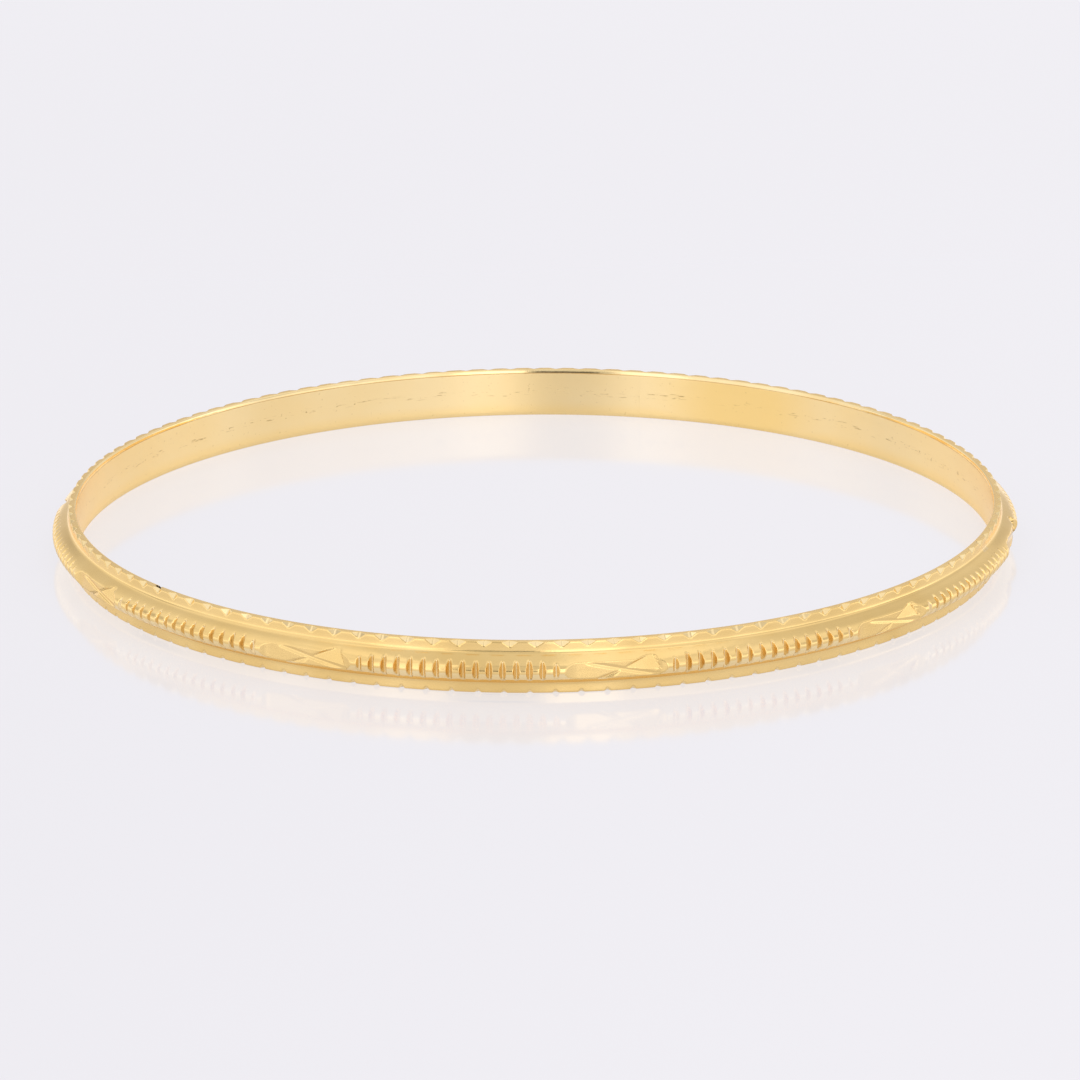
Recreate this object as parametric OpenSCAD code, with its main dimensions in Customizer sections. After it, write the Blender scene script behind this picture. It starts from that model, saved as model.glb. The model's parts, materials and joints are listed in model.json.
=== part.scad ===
// Closed slip-on bangle: a hollow gold band made of a patterned outer shell,
// a plain lining that closes it from inside, and the solder that joins them.
// The wrist passes along Z. The lower edge stands on z = 0.

/* [Band] */
// Inner diameter of the wrist opening
inner_d = 63.5; // [57:0.5:67]
// Width of the band along the wrist
band_w = 3.5; // [3.4:0.1:4.2]
// Radial thickness of the flat edges beside the bead
edge_t = 0.55; // [0.5:0.01:0.65]
// How far the bead along the middle stands out from the flat edges
bead_rise = 1.14; // [1.1:0.02:1.2]
// Half the height of the bead where it meets the flat edges
bead_half = 0.98; // [0.9:0.02:1.1]

/* [Walls] */
// Radius of the half-round hollow inside the bead
hollow_r = 0.42; // [0.36:0.02:0.44]
// Thickness of the lining strip
lining_t = 0.27; // [0.22:0.01:0.3]
// Height of the in-turned lips that hold the lining
lip_h = 0.25; // [0.24:0.01:0.3]
// Width of every solder line
solder_w = 0.06; // [0.05:0.01:0.1]

/* [Grooved groups] */
// Number of grooved groups round the band
groups = 10; // [6:1:12]
// Grooves in one group
grooves = 16; // [4:1:16]
// Angle from one groove to the next, in degrees
groove_pitch = 1.5; // [1.4:0.05:1.6]
// Angle of the first groove of the first group
first_groove = 213.75; // [213.75:0.25:214.25]
// Half the width of one groove
groove_r = 0.24; // [0.16:0.01:0.26]
// Depth of a groove below the crest
groove_depth = 0.5; // [0.4:0.01:0.52]

/* [Edge notches] */
// Notches cut round each edge
notches = 120; // [60:1:120]
// Angle of the first notch on the upper edge
upper_notch = 0; // [0:0.25:0.5]
// Angle of the first notch on the lower edge
lower_notch = 2.25; // [2:0.25:2.5]
// How far an upper notch runs down the outside of the edge
upper_drop = 0.4; // [0.3:0.01:0.42]
// How far an upper notch runs in over the edge
upper_in = 0.34; // [0.25:0.01:0.36]
// Half the width of an upper notch at the corner of the edge
upper_half = 0.58; // [0.4:0.02:0.7]
// How far a lower notch runs up the outside of the edge
lower_drop = 0.3; // [0.2:0.01:0.4]
// How far a lower notch runs in under the edge
lower_in = 0.34; // [0.25:0.01:0.36]
// Half the width of a lower notch at the corner of the edge
lower_half = 0.28; // [0.2:0.02:0.6]

/* [Joints] */
// Angle of the closing joint of the outer shell
shell_joint = 340.5; // [340.4:0.1:340.6]
// Angle of the butt joint of the lining
lining_joint = 75.75; // [60:0.25:120]
// Length of the alignment peg, as an angle
peg_angle = 14; // [8:1:20]

/* [Hidden] */
$fn = 96;
ring_fn = 240;
eps = 0.01;
inner_r = inner_d / 2;
edge_r = inner_r + edge_t;
crest_r = edge_r + bead_rise;
mid_z = band_w / 2;
slot_r = inner_r + lining_t;
peg_gap = 0.02;
// Tilt of each flank of the bead where they meet at the crest
crest_tilt = 14;
// Each lip leans away from the wrist, then rounds over; the outer corner is eased less
lip_lean = 0.05;
wrist_round = 0.12;
outer_round = 0.09;
lining_low = lip_h + solder_w;
joint_angle = solder_w / crest_r * 180 / PI;
period = 360 / groups;
// Engraved crosses in the windows between the grooved groups
panel_angle = period - (grooves - 1) * groove_pitch;
window_depth = 0.3;
window_len = 6;
cross_offset = 0.7;
stroke_len = 6;
// Tilt, rounding and depth of the broad stroke and of the narrow one
strokes = [[22, 0.6, 0.16], [-12, 0.3, 0.06]];
gold = [0.93, 0.77, 0.47];
satin_gold = [0.95, 0.83, 0.6];
solder_gold = [0.85, 0.68, 0.38];

// Quarter outline of an edge, from the lining's seat to the outside
function edge_points(z, up) = [
    [inner_r, z - up * lip_h],
    [inner_r + lip_lean, z - up * wrist_round],
    [inner_r + lip_lean + 0.3 * wrist_round, z - up * 0.3 * wrist_round],
    [inner_r + lip_lean + wrist_round, z],
    [edge_r - outer_round, z],
    [edge_r, z - up * outer_round]
];

function reversed(list) = [for (i = [len(list) - 1:-1:0]) list[i]];

// Flat bar of the band, eased at both edges
module bar_section() {
    polygon(concat(edge_points(band_w, 1), reversed(edge_points(0, -1))));
}

// Part of a shape that lies outside the flat edges
module outside() {
    intersection() {
        children();
        translate([edge_r - eps, 0]) square([2 * bead_rise, band_w]);
    }
}

// Disc whose upper or lower flank runs from the crest to the foot of the bead
module flank(up) {
    r = (pow(bead_rise, 2) + pow(bead_half, 2))
        / (2 * (bead_rise * cos(crest_tilt) - bead_half * sin(crest_tilt)));
    translate([crest_r - r * cos(crest_tilt), mid_z - up * r * sin(crest_tilt)]) circle(r);
}

// Bead with two round flanks that meet in a blunt ridge at the crest
module bead_section() {
    outside() intersection() {
        flank(1);
        flank(-1);
    }
}

// Half disc on the outside of the bar, for the hollow and what fills it
module half_round(r) {
    outside() translate([edge_r, mid_z]) circle(r);
}

// Seat of the lining, open towards the wrist
module seat_section() {
    translate([inner_r - 1, lip_h]) square([1 + lining_t, band_w - 2 * lip_h]);
}

// Part of the hollow that lies inside the bar
module cavity_section() {
    translate([slot_r - eps, mid_z - hollow_r]) square([edge_t - lining_t + eps, 2 * hollow_r]);
}

// Sweep a section round the ring from one angle over another
module sweep(start, angle) {
    rotate([0, 0, start]) rotate_extrude(angle = angle, $fn = ring_fn) children();
}

// Plain shell before the pattern is cut: lips, flat edges and hollow bead
module shell_blank(start, angle) {
    difference() {
        union() {
            sweep(start, angle) bar_section();
            sweep(start, angle) bead_section();
        }
        sweep(0, 360) seat_section();
        sweep(0, 360) cavity_section();
        sweep(0, 360) half_round(hollow_r);
    }
}

// One round-bottomed scoop across the crest of the bead
module groove(angle) {
    rotate([0, 0, angle]) translate([crest_r - groove_depth + groove_r, 0, mid_z])
        linear_extrude(height = 2 * bead_half, center = true) {
            circle(groove_r, $fn = 24);
            translate([0, -groove_r]) square([bead_rise, 2 * groove_r]);
        }
}

// V-cut over the corner of an edge; up is 1 on the upper edge and -1 on the lower
module notch(angle, up, drop, in, half) {
    tilt = atan2(drop, in);
    depth = in * sin(tilt);
    rotate([0, 0, angle])
        translate([edge_r, 0, up > 0 ? band_w : 0])
            rotate([0, -up * (90 - tilt), 0])
                translate([-depth, 0, 0])
                    linear_extrude(height = 2, center = true)
                        polygon([[0, 0], [2 * depth, 2 * half], [2 * depth, -2 * half]]);
}

// One leaf-shaped stroke of a cross, tilted from the bead's direction
module stroke(angle, tilt, r, depth) {
    rotate([0, 0, angle]) translate([crest_r - window_depth + r - depth, 0, mid_z])
        rotate([90 + tilt, 0, 0])
            cylinder(r = r, h = stroke_len, center = true, $fn = 48);
}

// Flat window under a cross, across the crest of the bead
module window(angle) {
    rotate([0, 0, angle]) translate([crest_r - window_depth, -window_len / 2, 0])
        cube([bead_rise, window_len, band_w]);
}

module outer_shell() {
    color(gold) difference() {
        shell_blank(shell_joint + joint_angle / 2, 360 - joint_angle);
        for (g = [0:groups - 1], i = [0:grooves - 1])
            groove(first_groove + g * period + i * groove_pitch);
        for (g = [0:groups - 1]) {
            window(first_groove + g * period - panel_angle / 2);
            for (s = strokes)
                stroke(first_groove + g * period - panel_angle / 2 + cross_offset, s[0], s[1], s[2]);
        }
        for (i = [0:notches - 1]) {
            notch(upper_notch + i * 360 / notches, 1, upper_drop, upper_in, upper_half);
            notch(lower_notch + i * 360 / notches, -1, lower_drop, lower_in, lower_half);
        }
    }
}

module inner_lining() {
    lining_angle = solder_w / inner_r * 180 / PI;
    color(satin_gold) sweep(lining_joint + lining_angle / 2, 360 - lining_angle)
        translate([inner_r, lining_low]) square([lining_t, band_w - 2 * lining_low]);
}

module lining_solder(low) {
    color(solder_gold) sweep(0, 360)
        translate([inner_r, low]) square([lining_t, solder_w]);
}

module upper_lining_solder() {
    lining_solder(band_w - lining_low);
}

module lower_lining_solder() {
    lining_solder(lip_h);
}

module shell_joint_solder() {
    color(solder_gold) shell_blank(shell_joint - joint_angle / 2, joint_angle);
}

module lining_joint_solder() {
    lining_angle = solder_w / inner_r * 180 / PI;
    color(solder_gold) sweep(lining_joint - lining_angle / 2, lining_angle)
        translate([inner_r, lining_low]) square([lining_t, band_w - 2 * lining_low]);
}

// Half-round peg inside the hollow, lying on the lining across the shell's joint
module joint_peg() {
    peg_r = hollow_r - peg_gap;
    color(solder_gold) sweep(shell_joint - peg_angle / 2, peg_angle) {
        translate([slot_r, mid_z - peg_r]) square([edge_t - lining_t, 2 * peg_r]);
        half_round(peg_r);
    }
}

outer_shell();
inner_lining();
upper_lining_solder();
lower_lining_solder();
shell_joint_solder();
lining_joint_solder();
joint_peg();
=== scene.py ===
"""Looks of the hollow gold bangle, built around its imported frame. Lengths are in metres."""

import json
import math

import bpy
import numpy as np
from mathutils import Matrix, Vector


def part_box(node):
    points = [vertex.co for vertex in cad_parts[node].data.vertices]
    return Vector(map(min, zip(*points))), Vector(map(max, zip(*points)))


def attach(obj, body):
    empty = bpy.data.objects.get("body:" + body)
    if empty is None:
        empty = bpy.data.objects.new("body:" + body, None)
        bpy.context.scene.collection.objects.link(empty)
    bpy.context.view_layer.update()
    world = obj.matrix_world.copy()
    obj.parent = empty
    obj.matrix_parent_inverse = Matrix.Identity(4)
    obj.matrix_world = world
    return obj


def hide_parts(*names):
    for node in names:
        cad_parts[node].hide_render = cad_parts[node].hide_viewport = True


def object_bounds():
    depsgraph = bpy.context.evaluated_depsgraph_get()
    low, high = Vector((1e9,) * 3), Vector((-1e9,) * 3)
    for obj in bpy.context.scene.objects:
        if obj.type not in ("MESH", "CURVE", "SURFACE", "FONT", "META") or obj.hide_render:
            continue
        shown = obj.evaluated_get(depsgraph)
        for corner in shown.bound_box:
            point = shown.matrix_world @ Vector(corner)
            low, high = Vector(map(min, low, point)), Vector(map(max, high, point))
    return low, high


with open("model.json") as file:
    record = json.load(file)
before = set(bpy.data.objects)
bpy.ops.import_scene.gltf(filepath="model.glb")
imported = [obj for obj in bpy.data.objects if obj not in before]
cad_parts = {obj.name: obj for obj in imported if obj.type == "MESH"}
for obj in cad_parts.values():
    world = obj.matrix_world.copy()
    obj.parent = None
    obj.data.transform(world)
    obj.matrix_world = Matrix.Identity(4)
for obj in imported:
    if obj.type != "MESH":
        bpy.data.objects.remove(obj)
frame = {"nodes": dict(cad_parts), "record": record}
CAD_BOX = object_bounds()

MM = 0.001

# Sizes taken from the frame
BORE = next(m for m in frame["record"]["mounts"] if m["name"] == "wrist_opening")
INNER_R = BORE["dims"]["r_mm"] * MM
BAND_W = CAD_BOX[1].z
MID_Z = BAND_W / 2
CREST_R = CAD_BOX[1].x
LINING_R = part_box("inner_lining")[1].x
LINING_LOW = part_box("inner_lining")[0].z
LIP_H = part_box("lower_lining_solder")[0].z
EDGE_T = 0.55 * MM
EDGE_R = INNER_R + EDGE_T
HOLLOW_R = 0.42 * MM

# Bead: radial rise, half height where it meets the flat edges, and how pointed its crest is
RISE = CREST_R - EDGE_R
BEAD_HALF = 0.98 * MM
BEAD_POWER = 2.2
FILLET = 0.18 * MM
LIP_LEAN = 0.05 * MM
CROWN_DROP = 0.14 * MM

# The pattern round the ring, in degrees
CELL = 1.5
CELLS = round(360 / CELL)
GROUPS = 10
PERIOD = 360 / GROUPS
GROOVES = 16
FIRST_GROOVE = 213.75
UPPER_NOTCH = 0.0
LOWER_NOTCH = 2.25
NOTCH_PITCH = 3.0
PANEL_CENTRE = FIRST_GROOVE - (PERIOD - (GROOVES - 1) * CELL) / 2
SHELL_JOINT = 340.5
LINING_JOINT = 75.75
WARM_ANGLE = 61
JOINT_HALF = 0.03 * MM

# Cut shapes
GROOVE_HALF = 0.21 * MM
GROOVE_DEPTH = 0.50 * MM
UPPER_CUT = (0.40 * MM, 0.34 * MM, 0.58 * MM)
LOWER_CUT = (0.30 * MM, 0.34 * MM, 0.27 * MM)
WINDOW_DEPTH = 0.30 * MM
WINDOW_FLAT = 2.5 * MM
WINDOW_HALF = 3.35 * MM
PIT_ANGLE = 218.5
PIT_HALF = 0.26 * MM

# Dull patch on the bead's shoulder at the shell's joint: half its angle in degrees, its heights
SMEAR_HALF = 0.9
SMEAR_HEIGHTS = (2.62 * MM, 3.05 * MM)

# Strokes of a cross: tilt in degrees, ends, start and fall of the facet, slopes of its walls
CROSS_SHIFT = 0.4 * MM
FACET_TILT = 22
FACET_ENDS = (-1.9 * MM, 2.3 * MM)
FACET_START = 0.03 * MM
FACET_FALL = (0.10, 0.15)
FACET_WALLS = (1.4, 0.34, 0.36)
ROUND_TILT = -12
ROUND_HALF = 0.17 * MM
ROUND_END = 2.6 * MM
ROUND_DEPTH = 0.075 * MM

# Gold tones: polished, a lit copy of the gold that paints highlights, satin, cut and dark, a near-black
# painted shadow for the pit, and the tint of its edges seen at a low angle
EDGE_TINT = (1.0, 0.95, 0.86, 1.0)
PALE = (0.93, 0.67, 0.285)
PAINTED_HIGHLIGHT_LIGHT = (0.96, 0.73, 0.36)
WARM = (0.88, 0.615, 0.24)
CUT = (0.90, 0.69, 0.37)
PAINTED_HIGHLIGHT_BRIGHT = (1.0, 0.80, 0.44)
DEEP = (0.84, 0.62, 0.30)
SHADE = (0.72, 0.45, 0.15)
SOFT = (1.0, 0.79, 0.43)
SOFT_WARM = (1.0, 0.77, 0.39)
HONEY = (1.0, 0.72, 0.28)
BRUISE = (0.52, 0.34, 0.13)
# Near-black painted shadow filling the casting pit, and its edge.
PIT_SHADOW = (0.03, 0.02, 0.01)
PIT_SHADOW_EDGE = (0.08, 0.05, 0.03)

# Places of the shell's materials in its list; the fifth is painted shadow for the pit, the sixth a lit copy
# of the gold that paints highlights
POLISHED, SANDED, CUT_FACE, SATIN, PIT_SHADOW_FACE, PAINTED_HIGHLIGHT = range(6)

rng = np.random.default_rng(22)


# ---------------------------------------------------------------- outlines

def line_points(start, end, spacing):
    """Evenly spaced points from start up to, but not including, end."""
    start, end = np.array(start, float), np.array(end, float)
    count = max(1, round(float(np.linalg.norm(end - start)) / spacing))
    return start + np.linspace(0, 1, count, endpoint=False)[:, None] * (end - start)


def arc_points(centre, radius, first, last, spacing):
    """Points on an arc, both ends included; angles in degrees from the outward radius."""
    count = max(2, round(abs(math.radians(last - first)) * radius / spacing))
    angles = np.radians(np.linspace(first, last, count + 1))
    return np.array(centre) + radius * np.stack([np.cos(angles), np.sin(angles)], 1)


def rounded(corners, radii, spacing):
    """A path through corners, with every inner corner rounded; the last corner is left out."""
    parts, here = [], np.array(corners[0], float)
    for before, corner, after, radius in zip(corners, corners[1:], corners[2:], radii):
        into = np.subtract(corner, before) / np.linalg.norm(np.subtract(corner, before))
        out = np.subtract(after, corner) / np.linalg.norm(np.subtract(after, corner))
        turn = math.acos(float(np.clip(into @ out, -1, 1)))
        reach = radius * math.tan(turn / 2)
        enter, leave = np.array(corner) - reach * into, np.array(corner) + reach * out
        parts.append(line_points(here, enter, spacing))
        steps = np.linspace(0, 1, max(3, round(turn / 0.25)), endpoint=False)[:, None]
        curve = (1 - steps) ** 2 * enter + 2 * steps * (1 - steps) * np.array(corner) + steps**2 * leave
        parts.append(curve)
        here = leave
    parts.append(line_points(here, corners[-1], spacing))
    return np.concatenate(parts)


def crown_outline(inner_round):
    """From the lip's inner corner over the rounded crown to the top of the flat edge."""
    corners = [
        (INNER_R, BAND_W - LIP_H),
        (INNER_R + LIP_LEAN, BAND_W),
        (EDGE_R, BAND_W),
        (EDGE_R, BAND_W - CROWN_DROP),
    ]
    return rounded(corners, [inner_round, 0.09 * MM], 0.06 * MM)


def bead_radius(height):
    """Outside radius at a height: flat edge and pointed bead, with a fillet between them."""
    bead = RISE * (1 - (np.abs(height - MID_Z) / BEAD_HALF) ** BEAD_POWER)
    return EDGE_R + (bead + np.sqrt(bead**2 + FILLET**2)) / 2


def mirrored(points):
    """The same outline on the other half of the band, run the other way."""
    return np.stack([points[::-1, 0], BAND_W - points[::-1, 1]], 1)


def shell_outline():
    """Closed section of the shell, and the index range of its outer side."""
    upper, lower = crown_outline(0.13 * MM), mirrored(crown_outline(0.06 * MM))
    heights = np.linspace(BAND_W - CROWN_DROP, CROWN_DROP, 61)
    side = np.stack([bead_radius(heights), heights], 1)
    hollow = arc_points((EDGE_R, MID_Z), HOLLOW_R, -90, 90, 0.2 * MM)
    seat = np.array([(LINING_R, LIP_H), (LINING_R, MID_Z - HOLLOW_R)])
    outline = np.concatenate([upper, side, lower, seat, hollow, mirrored(seat)])
    return outline, len(upper), len(upper) + len(side), len(upper) + len(side) + len(lower)


# ---------------------------------------------------------------- pattern cuts

def shell_angles():
    """Angles of the mesh lines round the shell, from one side of its joint to the other."""
    steps = np.array([0.11, 0.22, 0.32, 0.375, 0.425, 0.58, 0.75])
    offsets = np.concatenate([-steps[-2::-1], [0.0], steps])
    lines = (np.arange(CELLS)[:, None] * CELL + CELL / 2 + offsets).ravel()
    gap = math.degrees(JOINT_HALF / CREST_R)
    after = np.sort((lines - SHELL_JOINT) % 360)
    inside = after[(after > gap * 1.5) & (after < 360 - gap * 1.5)]
    return SHELL_JOINT + np.concatenate([[gap], inside, [360 - gap]])


def nearest_mark(angles, first, pitch, count):
    """Signed angle from the nearest of count marks, and which mark it is."""
    number = np.round((angles - first) / pitch)
    return angles - first - number * pitch, number.astype(int) % count


def cut_notches(points, angles, first, upper):
    """Flattens the corner of one edge into a row of V-cuts."""
    drop, inward, half = UPPER_CUT if upper else LOWER_CUT
    count = round(360 / NOTCH_PITCH)
    offset, which = nearest_mark(angles, first, NOTCH_PITCH, count)
    across = np.radians(offset) * EDGE_R + rng.normal(0, 0.02 * MM, count)[which]
    size = rng.uniform(0.88, 1.06, count)[which]
    depth = drop * inward / math.hypot(drop, inward) * size * np.clip(1 - np.abs(across) / half, 0, 1)
    side = 1 if upper else -1
    normal = np.array([-drop, -side * inward]) / math.hypot(drop, inward)
    below = (points - (EDGE_R, BAND_W if upper else 0)) @ normal
    beside = side * (points[..., 1] - MID_Z) > BEAD_HALF
    missing = np.where(beside, np.clip(depth[:, None] - below, 0, None), 0)
    points += missing[..., None] * normal
    return missing > 0


def cut_grooves(points, angles, bead):
    """Cuts round-bottomed scoops across the bead's crest."""
    period_start = np.floor((angles - FIRST_GROOVE + CELL / 2) / PERIOD)
    local = angles - FIRST_GROOVE - period_start * PERIOD
    number = np.round(local / CELL).astype(int)
    grooved = number < GROOVES
    group = period_start.astype(int) % GROUPS
    slot = np.clip(number, 0, GROOVES - 1)
    depth = GROOVE_DEPTH * rng.uniform(0.88, 1.05, (GROUPS, GROOVES))
    depth[:, (0, -1)] *= 0.6
    shift = rng.normal(0, 0.012 * MM, (GROUPS, GROOVES))
    across = np.radians(local - number * CELL) * CREST_R + shift[group, slot]
    bowl = 1 - (across / GROOVE_HALF) ** 2
    limit = np.where(grooved & (bowl > 0), CREST_R - depth[group, slot] * bowl, np.inf)
    return lower_bead(points, bead, np.repeat(limit[:, None], bead.stop - bead.start, 1))


def lower_bead(points, bead, limit):
    """Moves the bead's points inwards to limit, and says which moved."""
    cut = points[:, bead, 0] > limit
    points[:, bead, 0] = np.minimum(points[:, bead, 0], limit)
    return cut


def panel_place(angles):
    """Distance along the bead from the nearest panel's middle, and which panel."""
    offset, which = nearest_mark(angles, PANEL_CENTRE, PERIOD, GROUPS)
    return np.radians(offset) * CREST_R, which


def cut_windows(points, angles, bead):
    """Flattens the bead between the groups into windows with round ends."""
    along, which = panel_place(angles)
    end = np.clip((np.abs(along) - WINDOW_FLAT) / (WINDOW_HALF - WINDOW_FLAT), 0, 1)
    depth = WINDOW_DEPTH * rng.uniform(0.9, 1.1, GROUPS)[which] * (1 - end**2)
    limit = np.where(end < 1, CREST_R - depth, np.inf)
    return lower_bead(points, bead, np.repeat(limit[:, None], bead.stop - bead.start, 1))


def stroke_frame(points, angles, bead, tilt):
    """Distances across and along a tilted stroke through the middle of every cross."""
    along, which = panel_place(angles)
    along = along - CROSS_SHIFT + rng.normal(0, 0.06 * MM, GROUPS)[which]
    up = points[:, bead, 1] - MID_Z
    lean = math.radians(tilt) + rng.normal(0, 0.015, GROUPS)[which][:, None]
    side = up * np.cos(lean) - along[:, None] * np.sin(lean)
    reach = along[:, None] * np.cos(lean) + up * np.sin(lean)
    return side, reach


def cut_facet_stroke(points, angles, bead):
    """A V-cut that deepens away from its middle, steep above and a flat facet below."""
    side, reach = stroke_frame(points, angles, bead, FACET_TILT)
    left_fall, right_fall = FACET_FALL
    depth = np.where(reach > 0, right_fall * reach, -left_fall * reach) + FACET_START
    depth = np.where(reach < FACET_ENDS[1], depth, 0)
    steep, right, left = FACET_WALLS
    wall = np.where(side > 0, steep * side, np.where(reach > 0, -right, -left) * side)
    inside = (wall < depth) & (reach > FACET_ENDS[0])
    limit = np.where(inside, CREST_R - WINDOW_DEPTH - depth + wall, np.inf)
    return lower_bead(points, bead, limit)


def cut_round_stroke(points, angles, bead):
    """A long shallow groove of even width, the other stroke of the cross."""
    side, reach = stroke_frame(points, angles, bead, ROUND_TILT)
    bowl = 1 - (side / ROUND_HALF) ** 2
    fade = np.clip(1 - (reach / ROUND_END) ** 6, 0, None)
    limit = np.where(bowl * fade > 0, CREST_R - WINDOW_DEPTH - ROUND_DEPTH * bowl * fade, np.inf)
    return lower_bead(points, bead, limit)


def cut_pit(points, angles):
    """A small casting pit in the rounded top of the upper edge."""
    across = np.radians((angles - PIT_ANGLE + 180) % 360 - 180) * INNER_R / PIT_HALF
    inward = (points[..., 0] - INNER_R - 0.2 * MM) / (0.17 * MM)
    bowl = 1 - across[:, None] ** 2 - inward**2
    hit = (bowl > 0) & (points[..., 1] > BAND_W - 0.1 * MM)
    points[..., 1] -= np.where(hit, 0.22 * MM * np.sqrt(np.clip(bowl, 0, None)), 0)
    return hit


# ---------------------------------------------------------------- meshes

def ring_mesh(name, angles, points, closed, face_slots=None, sharp_rows=()):
    """A mesh swept round Z: points[i, j] is (radius, height) of row j at angle i."""
    count, rows = points.shape[:2]
    turn = np.radians(angles)[:, None]
    verts = np.stack([points[..., 0] * np.cos(turn), points[..., 0] * np.sin(turn), points[..., 1]], -1)
    first = np.arange(count if closed else count - 1)
    ring = np.arange(rows)
    a = first[:, None] * rows + ring
    b = first[:, None] * rows + (ring + 1) % rows
    shift = ((first + 1) % count)[:, None] * rows
    quads = np.stack([a, b, shift + (ring + 1) % rows, shift + ring], -1).reshape(-1, 4)
    faces = quads.tolist()
    if not closed:
        faces.append(list(range(rows))[::-1])
        faces.append(list(range((count - 1) * rows, count * rows)))
    mesh = bpy.data.meshes.new(name)
    mesh.from_pydata(verts.reshape(-1, 3).tolist(), [], faces)
    smooth = np.ones(len(faces), bool)
    smooth[len(quads):] = False
    mesh.polygons.foreach_set("use_smooth", smooth)
    if face_slots is not None:
        slots = np.zeros(len(faces), np.int32)
        slots[:len(quads)] = face_slots.ravel()
        mesh.polygons.foreach_set("material_index", slots)
    mark_sharp(mesh, count, rows, closed, sharp_rows)
    mesh.validate()
    piece = bpy.data.objects.new(name, mesh)
    bpy.context.scene.collection.objects.link(piece)
    return piece


def mark_sharp(mesh, count, rows, closed, sharp_rows):
    """Keeps the shading crisp along whole rows of the sweep, and round its open ends."""
    ends = np.zeros(len(mesh.edges) * 2, np.int64)
    mesh.edges.foreach_get("vertices", ends)
    ring, row = np.divmod(ends.reshape(-1, 2), rows)
    sharp = (row[:, 0] == row[:, 1]) & np.isin(row[:, 0], list(sharp_rows))
    if not closed:
        sharp |= (ring[:, 0] == ring[:, 1]) & np.isin(ring[:, 0], (0, count - 1))
    layer = mesh.attributes.new("sharp_edge", "BOOLEAN", "EDGE")
    layer.data.foreach_set("value", sharp)


def strip_section(inner, outer, low, high, spacing, ease):
    """Rectangle with its two inner corners eased, for a strip lying round the ring."""
    corners = [(outer, low), (inner, low), (inner, high), (outer, high)]
    path = rounded(corners, [ease, ease], spacing)
    return np.concatenate([path, [(outer, high)]])[::-1]


def make_shell(materials):
    outline, start, stop, lip = shell_outline()
    bead = slice(start, stop)
    angles = shell_angles()
    points = np.repeat(outline[None], len(angles), 0)
    kind = np.full(points.shape[:2], POLISHED, np.int32)
    kind[:, np.arange(len(outline)) < start - 2] = SANDED
    # The notch facets are real cuts; the lit copy of the gold on them paints the highlights they catch.
    facets = cut_notches(points, angles, UPPER_NOTCH, True)
    kind[facets | cut_notches(points, angles, LOWER_NOTCH, False)] = PAINTED_HIGHLIGHT
    # The lower half of the bead takes the lit copy too: painted light that lifts it where it reflects the
    # floor shaded by the ring.
    kind[:, (outline[:, 0] > EDGE_R + 0.1 * MM) & (outline[:, 1] < MID_Z - 0.1 * MM)] = PAINTED_HIGHLIGHT
    window = cut_windows(points, angles, bead)
    kind[:, bead][window] = SANDED
    cut_facet_stroke(points, angles, bead)
    kind[:, bead][cut_round_stroke(points, angles, bead)] = POLISHED
    kind[:, bead][cut_grooves(points, angles, bead)] = CUT_FACE
    kind[:, (outline[:, 0] < INNER_R + 0.06 * MM) & (outline[:, 1] < MID_Z)] = SATIN
    pit = cut_pit(points, angles)
    smear = np.abs((angles - SHELL_JOINT + 180) % 360 - 180) < SMEAR_HALF
    low, high = SMEAR_HEIGHTS
    patch_rows = (outline[:, 1] > low) & (outline[:, 1] < high) & (outline[:, 0] > EDGE_R)
    kind[smear[:, None] & patch_rows] = CUT_FACE
    # The lip's inner side takes the lit copy as well: painted light over a dark reflection there.
    inner_side = (np.arange(len(outline)) < start) & (outline[:, 0] < INNER_R + 0.14 * MM)
    kind[:, inner_side] = PAINTED_HIGHLIGHT
    corner = kind[:-1]
    after = kind[1:]
    faces = np.minimum.reduce([corner, after, np.roll(corner, -1, 1), np.roll(after, -1, 1)])
    # The pit's faces get a near-black painted shadow.
    faces[pit[:-1] | pit[1:]] = PIT_SHADOW_FACE
    sharp = [0, lip - 1, lip, len(outline) - 1]
    shell = ring_mesh("gold_shell", angles, points, False, faces, sharp)
    for material in materials:
        shell.data.materials.append(material)
    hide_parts("outer_shell")
    return shell


def make_shell_joint(material):
    outline = shell_outline()[0]
    half = math.degrees(JOINT_HALF / CREST_R)
    angles = SHELL_JOINT + np.linspace(-half, half, 3)
    points = np.repeat(outline[None], 3, 0)
    joint = ring_mesh("shell_joint_line", angles, points, False)
    joint.data.materials.append(material)
    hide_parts("shell_joint_solder")
    return joint


def make_lining(material):
    section = strip_section(INNER_R, LINING_R, LINING_LOW, BAND_W - LINING_LOW, 0.12 * MM, 0.01 * MM)
    half = math.degrees(JOINT_HALF / INNER_R)
    angles = LINING_JOINT + np.linspace(half, 360 - half, 900)
    points = np.repeat(section[None], len(angles), 0)
    lining = ring_mesh("satin_lining", angles, points, False)
    lining.data.materials.append(material)
    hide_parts("inner_lining")
    return lining


def make_lining_joint(material):
    section = strip_section(INNER_R, LINING_R, LINING_LOW, BAND_W - LINING_LOW, 0.12 * MM, 0.01 * MM)
    half = math.degrees(JOINT_HALF / INNER_R)
    angles = LINING_JOINT + np.linspace(-half, half, 5)
    points = np.repeat(section[None], len(angles), 0)
    inner = points[..., 0] < INNER_R + 0.05 * MM
    sag = np.array([0, 0.7, 1, 0.7, 0])[:, None] * 0.004 * MM
    points[..., 0] += np.where(inner, sag, 0)
    joint = ring_mesh("lining_joint_line", angles, points, False)
    joint.data.materials.append(material)
    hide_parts("lining_joint_solder")
    return joint


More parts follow.
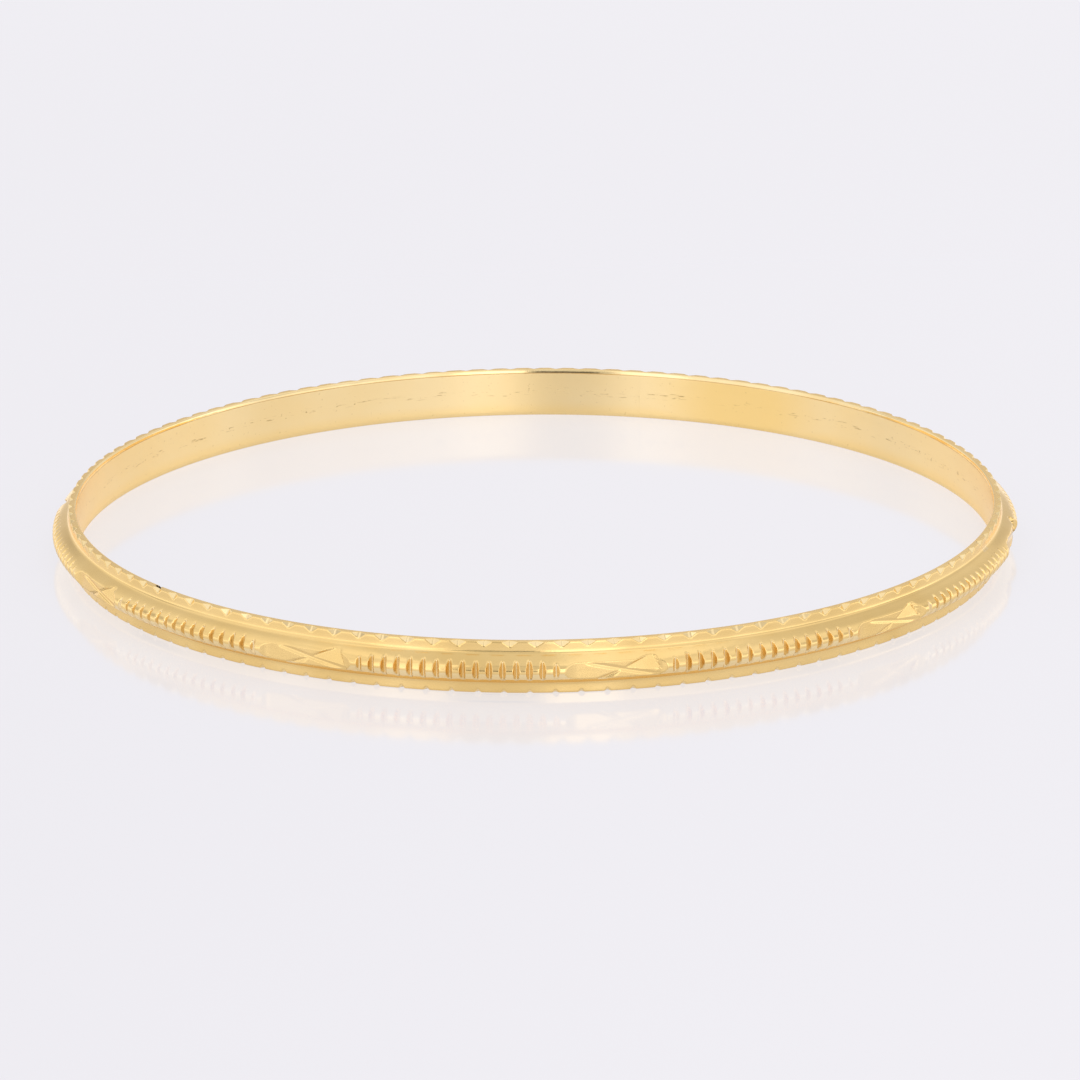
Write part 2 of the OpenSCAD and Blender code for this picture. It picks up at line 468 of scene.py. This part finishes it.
def make_seam(name, node, low, sag, material):
    """One hairline of solder between a lip and the lining, its face hollowed by sag."""
    high = low + LINING_LOW - LIP_H
    face = np.linspace(0, 1, 5)
    inner = np.stack([INNER_R + sag * np.sin(math.pi * face), low + (high - low) * face], 1)
    section = np.concatenate([inner, [(LINING_R, high), (LINING_R, low)]])[::-1]
    angles = np.linspace(0, 360, 900, endpoint=False)
    wander = 0.3 * sag * np.sin(np.radians(angles) * 37) * np.sin(np.radians(angles) * 11)
    points = np.repeat(section[None], len(angles), 0)
    points[..., 0] += np.where(points[..., 0] < LINING_R - 0.01 * MM, np.abs(wander)[:, None], 0)
    seam = ring_mesh(name, angles, points, True, sharp_rows=(0, 1, 2, len(section) - 1))
    seam.data.materials.append(material)
    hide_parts(node)
    return seam


# ---------------------------------------------------------------- materials

def new_material(name):
    material = bpy.data.materials.new(name)
    material.use_nodes = True
    tree = material.node_tree
    return material, tree, tree.nodes["Principled BSDF"]


def stretched_position(tree, stretch):
    """Object position, scaled along each axis, for grain that runs round the ring."""
    place = tree.nodes.new("ShaderNodeTexCoord")
    mapping = tree.nodes.new("ShaderNodeMapping")
    mapping.inputs["Scale"].default_value = stretch
    tree.links.new(place.outputs["Object"], mapping.inputs["Vector"])
    return mapping.outputs["Vector"]


def noise(tree, vector, scale, detail=3.0, roughness=0.5):
    node = tree.nodes.new("ShaderNodeTexNoise")
    node.inputs["Scale"].default_value = scale
    node.inputs["Detail"].default_value = detail
    node.inputs["Roughness"].default_value = roughness
    tree.links.new(vector, node.inputs["Vector"])
    return node.outputs["Fac"]


def ramp(tree, value, stops):
    node = tree.nodes.new("ShaderNodeValToRGB")
    elements = node.color_ramp.elements
    while len(elements) < len(stops):
        elements.new(0.5)
    for element, (place, colour) in zip(elements, stops):
        element.position = place
        element.color = (*colour, 1)
    tree.links.new(value, node.inputs["Fac"])
    return node.outputs["Color"]


def calc(tree, operation, *values):
    """A maths node; every value is a number or a socket."""
    node = tree.nodes.new("ShaderNodeMath")
    node.operation = operation
    for socket, value in zip(node.inputs, values):
        if isinstance(value, (int, float)):
            socket.default_value = value
        else:
            tree.links.new(value, socket)
    return node.outputs["Value"]


def step(tree, value, low, high):
    """0 below low, 1 above high, smooth between."""
    node = tree.nodes.new("ShaderNodeMapRange")
    node.interpolation_type = "SMOOTHSTEP"
    node.inputs["From Min"].default_value = low
    node.inputs["From Max"].default_value = high
    tree.links.new(value, node.inputs["Value"])
    return node.outputs["Result"]


def span(tree, value, low, high):
    """Maps 0..1 onto low..high."""
    node = tree.nodes.new("ShaderNodeMapRange")
    node.inputs["To Min"].default_value = low
    node.inputs["To Max"].default_value = high
    tree.links.new(value, node.inputs["Value"])
    return node.outputs["Result"]


def bump(tree, layers):
    """Bump built up from layers of (height socket, depth, strength)."""
    normal = None
    for height, depth, strength in layers:
        node = tree.nodes.new("ShaderNodeBump")
        node.inputs["Distance"].default_value = depth
        node.inputs["Strength"].default_value = strength
        tree.links.new(height, node.inputs["Height"])
        if normal is not None:
            tree.links.new(normal, node.inputs["Normal"])
        normal = node.outputs["Normal"]
    return normal


def blend(tree, first, second, amount):
    """Mixes two colours; each is a socket or three numbers."""
    node = tree.nodes.new("ShaderNodeMix")
    node.data_type = "RGBA"
    tree.links.new(amount, node.inputs[0])
    for socket, colour in ((node.inputs[6], first), (node.inputs[7], second)):
        if isinstance(colour, tuple):
            socket.default_value = (*colour, 1)
        else:
            tree.links.new(colour, socket)
    return node.outputs[2]


def gold(name, tones, roughness, grain_depth, streak_depth):
    """Metal with a slow change of tone, uneven gloss, fine grain and streaks round the ring."""
    material, tree, shader = new_material(name)
    shader.inputs["Metallic"].default_value = 1.0
    shader.inputs["Specular Tint"].default_value = EDGE_TINT
    place = stretched_position(tree, (1, 1, 1))
    slow = noise(tree, place, 260, 2.0)
    tree.links.new(ramp(tree, slow, [(0.35, tones[0]), (0.65, tones[1])]), shader.inputs["Base Color"])
    fine = noise(tree, place, 9000, 4.0, 0.6)
    tree.links.new(span(tree, fine, *roughness), shader.inputs["Roughness"])
    dents = noise(tree, stretched_position(tree, (1, 1, 2.5)), 900, 2.0)
    streaks = noise(tree, stretched_position(tree, (0.07, 0.07, 1.0)), 9000, 4.0, 0.6)
    layers = [(dents, 0.012 * MM, 0.6), (streaks, streak_depth, 0.5), (fine, grain_depth, 0.4)]
    tree.links.new(bump(tree, layers), shader.inputs["Normal"])
    return material


def satin_finish():
    """Brushed lining with pits and short cracks along its middle and a warm zone by its joint."""
    material, tree, shader = new_material("satin_gold")
    shader.inputs["Metallic"].default_value = 1.0
    place = stretched_position(tree, (1, 1, 1))
    split = tree.nodes.new("ShaderNodeSeparateXYZ")
    tree.links.new(place, split.inputs["Vector"])
    height = split.outputs["Z"]

    slow = noise(tree, place, 150, 3.0)
    colour = ramp(tree, slow, [(0.35, SOFT), (0.65, SOFT_WARM)])
    gap = tree.nodes.new("ShaderNodeVectorMath")
    gap.operation = "DISTANCE"
    tree.links.new(place, gap.inputs[0])
    angle = math.radians(WARM_ANGLE)
    gap.inputs[1].default_value = (INNER_R * math.cos(angle), INNER_R * math.sin(angle), MID_Z)
    warm = calc(tree, "SUBTRACT", 1, step(tree, gap.outputs["Value"], 2 * MM, 8 * MM))
    # Warmer honey tone towards the lining's lower edge as well.
    low = calc(tree, "SUBTRACT", 1, step(tree, height, LIP_H, LIP_H + 0.9 * MM))
    tint = calc(tree, "MAXIMUM", calc(tree, "MULTIPLY", warm, 0.9), calc(tree, "MULTIPLY", low, 0.5))
    colour = blend(tree, colour, HONEY, tint)

    wander = span(tree, noise(tree, stretched_position(tree, (1, 1, 0)), 250, 2.0), -0.5 * MM, 0.5 * MM)
    off = calc(tree, "ABSOLUTE", calc(tree, "SUBTRACT", calc(tree, "SUBTRACT", height, MID_Z), wander))
    band = calc(tree, "SUBTRACT", 1, step(tree, off, 0.06 * MM, 0.3 * MM))
    crack = noise(tree, stretched_position(tree, (0.11, 0.11, 1.0)), 9500, 3.0, 0.6)
    pit = noise(tree, place, 4200, 2.0)
    cracks = calc(tree, "MULTIPLY", step(tree, crack, 0.6, 0.68), band)
    pits = calc(tree, "MULTIPLY", step(tree, pit, 0.69, 0.74), span(tree, band, 0.35, 1.0))
    marks = calc(tree, "MAXIMUM", cracks, pits)
    colour = blend(tree, colour, BRUISE, calc(tree, "MULTIPLY", marks, 0.75))
    tree.links.new(colour, shader.inputs["Base Color"])

    shader.inputs["Anisotropic"].default_value = 0.85
    shader.inputs["Specular Tint"].default_value = EDGE_TINT
    upright = tree.nodes.new("ShaderNodeCombineXYZ")
    upright.inputs["Z"].default_value = 1.0
    tree.links.new(upright.outputs["Vector"], shader.inputs["Tangent"])
    brush = noise(tree, stretched_position(tree, (0.05, 0.05, 1.0)), 14000, 4.0, 0.65)
    grain = noise(tree, place, 9000, 3.0, 0.6)
    tree.links.new(span(tree, grain, 0.3, 0.42), shader.inputs["Roughness"])
    hollow = calc(tree, "SUBTRACT", 1, marks)
    dents = noise(tree, stretched_position(tree, (1, 1, 0.4)), 500, 2.0)
    layers = [
        (dents, 0.01 * MM, 0.6),
        (brush, 0.0012 * MM, 0.5),
        (grain, 0.0012 * MM, 0.4),
        (hollow, 0.02 * MM, 0.6),
    ]
    tree.links.new(bump(tree, layers), shader.inputs["Normal"])
    return material


polished = gold("polished_gold", (PALE, WARM), (0.06, 0.2), 0.002 * MM, 0.003 * MM)
# A lit copy of the gold: painted highlight for the notch facets, the lower bead and the lip's inner side.
facet = gold("painted_highlight_gold", (PAINTED_HIGHLIGHT_BRIGHT, PAINTED_HIGHLIGHT_LIGHT), (0.05, 0.15), 0.002 * MM, 0.0)
sanded = gold("sanded_gold", (PALE, WARM), (0.18, 0.34), 0.006 * MM, 0.002 * MM)
cut = gold("cut_gold", (CUT, DEEP), (0.12, 0.28), 0.006 * MM, 0.0)
satin = satin_finish()
solder = gold("solder_gold", (DEEP, SHADE), (0.2, 0.4), 0.004 * MM, 0.0)
# Near-black painted shadow for the casting pit.
pit_shadow = gold("pit_painted_shadow", (PIT_SHADOW, PIT_SHADOW_EDGE), (0.5, 0.7), 0.004 * MM, 0.0)


# ---------------------------------------------------------------- stage

# Floor: glow in front of and behind the ring, and half its length
FLOOR_GLOW = (0.62, 0.555)
FLOOR_HALF = 1.5


def make_floor():
    material, tree, shader = new_material("glowing_floor")
    tone = noise(tree, stretched_position(tree, (1, 1, 1)), 3, 2.0)
    shade = ramp(tree, tone, [(0.3, (0.12, 0.115, 0.125)), (0.7, (0.14, 0.135, 0.145))])
    tree.links.new(shade, shader.inputs["Base Color"])
    shader.inputs["Emission Color"].default_value = (1.0, 0.985, 1.03, 1)
    split = tree.nodes.new("ShaderNodeSeparateXYZ")
    tree.links.new(stretched_position(tree, (1, 1, 1)), split.inputs["Vector"])
    behind = step(tree, split.outputs["Y"], -0.05, 0.2)
    # The glow is painted light: it stands in for light falling on the floor, keeps the ring's contact
    # shadow faint, and is a little stronger in front.
    tree.links.new(span(tree, behind, *FLOOR_GLOW), shader.inputs["Emission Strength"])
    shader.inputs["Roughness"].default_value = 0.1
    shader.inputs["IOR"].default_value = 1.65
    half = FLOOR_HALF
    corners = [(-half, -half, 0), (half, -half, 0), (half, half, 0), (-half, half, 0)]
    mesh = bpy.data.meshes.new("floor")
    mesh.from_pydata(corners, [], [(0, 1, 2, 3)])
    mesh.materials.append(material)
    floor = bpy.data.objects.new("floor", mesh)
    floor.location.z = -0.002 * MM
    bpy.context.scene.collection.objects.link(floor)
    return floor


def patch(tree, azimuth, elevation, centre, half, low, high, soft):
    """1 inside a patch of the studio round the ring, 0 outside; angles in degrees."""
    away = calc(tree, "ABSOLUTE", calc(tree, "WRAP", calc(tree, "SUBTRACT", azimuth, centre), 180, -180))
    across = calc(tree, "SUBTRACT", 1, step(tree, away, half - soft, half + soft))
    above = step(tree, elevation, low - soft / 2, low + soft / 2)
    under = calc(tree, "SUBTRACT", 1, step(tree, elevation, high - soft / 2, high + soft / 2))
    return calc(tree, "MULTIPLY", calc(tree, "MULTIPLY", across, above), under)


# Patches of the studio: azimuth, half width, lowest and highest elevation, softness, added light
PATCHES = [
    (262, 9, 0, 10, 2, -0.6),
    (261, 12, 0, 68, 3, -0.24),
    (279, 7, 25, 68, 4, -0.2),
    (239, 9, 0, 62, 2, 0.3),
    (240, 9, 0, 30, 2, 0.1),
    (281, 9, 0, 30, 2, 0.75),
    (212, 18, 0, 28, 6, 0.1),
    (314, 22, 0, 28, 6, 0.2),
    (4, 16, 0, 11, 4, 0.4),
    (330, 22, 8, 30, 8, -0.3),
    (12, 9, 12, 31, 8, -0.32),
    (163, 10, 12, 33, 8, -0.36),
    (46, 20, 14, 60, 16, -0.24),
    (114, 20, 16, 60, 16, -0.24),
    (185, 25, 48, 68, 10, 0.08),
    (355, 25, 48, 68, 10, 0.06),
    (90, 26, 2, 21, 5, -0.24),
]

# Light of the bare studio, and the elevations between which the ceiling begins
STUDIO_LIGHT = 0.98
OVERHEAD = (55, 72)

# Strips overhead: sideways slope of their middle, half width and added light
STRIPS = [(0.19, 0.14, 0.34), (-0.35, 0.08, 0.32)]
CEILING = -0.16


def make_world():
    world = bpy.data.worlds.new("studio")
    world.use_nodes = True
    tree = world.node_tree
    place = tree.nodes.new("ShaderNodeTexCoord")
    split = tree.nodes.new("ShaderNodeSeparateXYZ")
    tree.links.new(place.outputs["Generated"], split.inputs["Vector"])
    degrees = 180 / math.pi
    azimuth = calc(tree, "MULTIPLY", calc(tree, "ARCTAN2", split.outputs["Y"], split.outputs["X"]), degrees)
    elevation = calc(tree, "MULTIPLY", calc(tree, "ARCSINE", split.outputs["Z"]), degrees)
    light = STUDIO_LIGHT
    for centre, half, low, high, soft, extra in PATCHES:
        inside = patch(tree, azimuth, elevation, centre, half, low, high, soft)
        light = calc(tree, "MULTIPLY_ADD", inside, extra, light)
    overhead = step(tree, elevation, *OVERHEAD)
    light = calc(tree, "MULTIPLY_ADD", overhead, CEILING, light)
    slope = calc(tree, "DIVIDE", split.outputs["X"], calc(tree, "MAXIMUM", split.outputs["Z"], 0.2))
    for centre, half, extra in STRIPS:
        away = calc(tree, "ABSOLUTE", calc(tree, "SUBTRACT", slope, centre))
        strip = calc(tree, "SUBTRACT", 1, step(tree, away, half - 0.03, half + 0.03))
        light = calc(tree, "MULTIPLY_ADD", calc(tree, "MULTIPLY", strip, overhead), extra, light)
    background = tree.nodes["Background"]
    background.inputs["Color"].default_value = (1.0, 0.99, 1.02, 1)
    tree.links.new(light, background.inputs["Strength"])
    bpy.context.scene.world = world


# Camera: elevation and roll in degrees, distance in inner radii, focal length, point it looks at
CAMERA_ELEVATION = 17.49
CAMERA_ROLL = -0.46
CAMERA_DISTANCE = 14.095
CAMERA_LENS = 214.4
CAMERA_AIM = (0.34, 0, 0.24)


def make_camera():
    elevation = math.radians(CAMERA_ELEVATION)
    distance = CAMERA_DISTANCE * INNER_R
    aim = Vector(CAMERA_AIM) * MM
    data = bpy.data.cameras.new("camera")
    data.lens = CAMERA_LENS
    data.clip_start = 0.02
    camera = bpy.data.objects.new("camera", data)
    camera.location = distance * Vector((0, -math.cos(elevation), math.sin(elevation)))
    look = (aim - camera.location).to_track_quat("-Z", "Y").to_matrix().to_4x4()
    camera.rotation_euler = look.to_euler()
    camera.rotation_euler.rotate_axis("Z", math.radians(CAMERA_ROLL))
    bpy.context.scene.collection.objects.link(camera)
    bpy.context.scene.camera = camera


# ---------------------------------------------------------------- assembly

pieces = [
    make_shell([polished, sanded, cut, satin, pit_shadow, facet]),
    make_shell_joint(solder),
    make_lining(satin),
    make_lining_joint(satin),
    make_seam("lower_seam_line", "lower_lining_solder", LIP_H, 0.0, satin),
    make_seam("upper_seam_line", "upper_lining_solder", BAND_W - LINING_LOW, 0.02 * MM, solder),
]
for piece in pieces:
    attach(piece, "root")

peg = frame["nodes"]["joint_peg"]
peg.data.materials.clear()
peg.data.materials.append(solder)

make_floor()
make_world()
make_camera()
bpy.context.scene.view_settings.view_transform = "Standard"
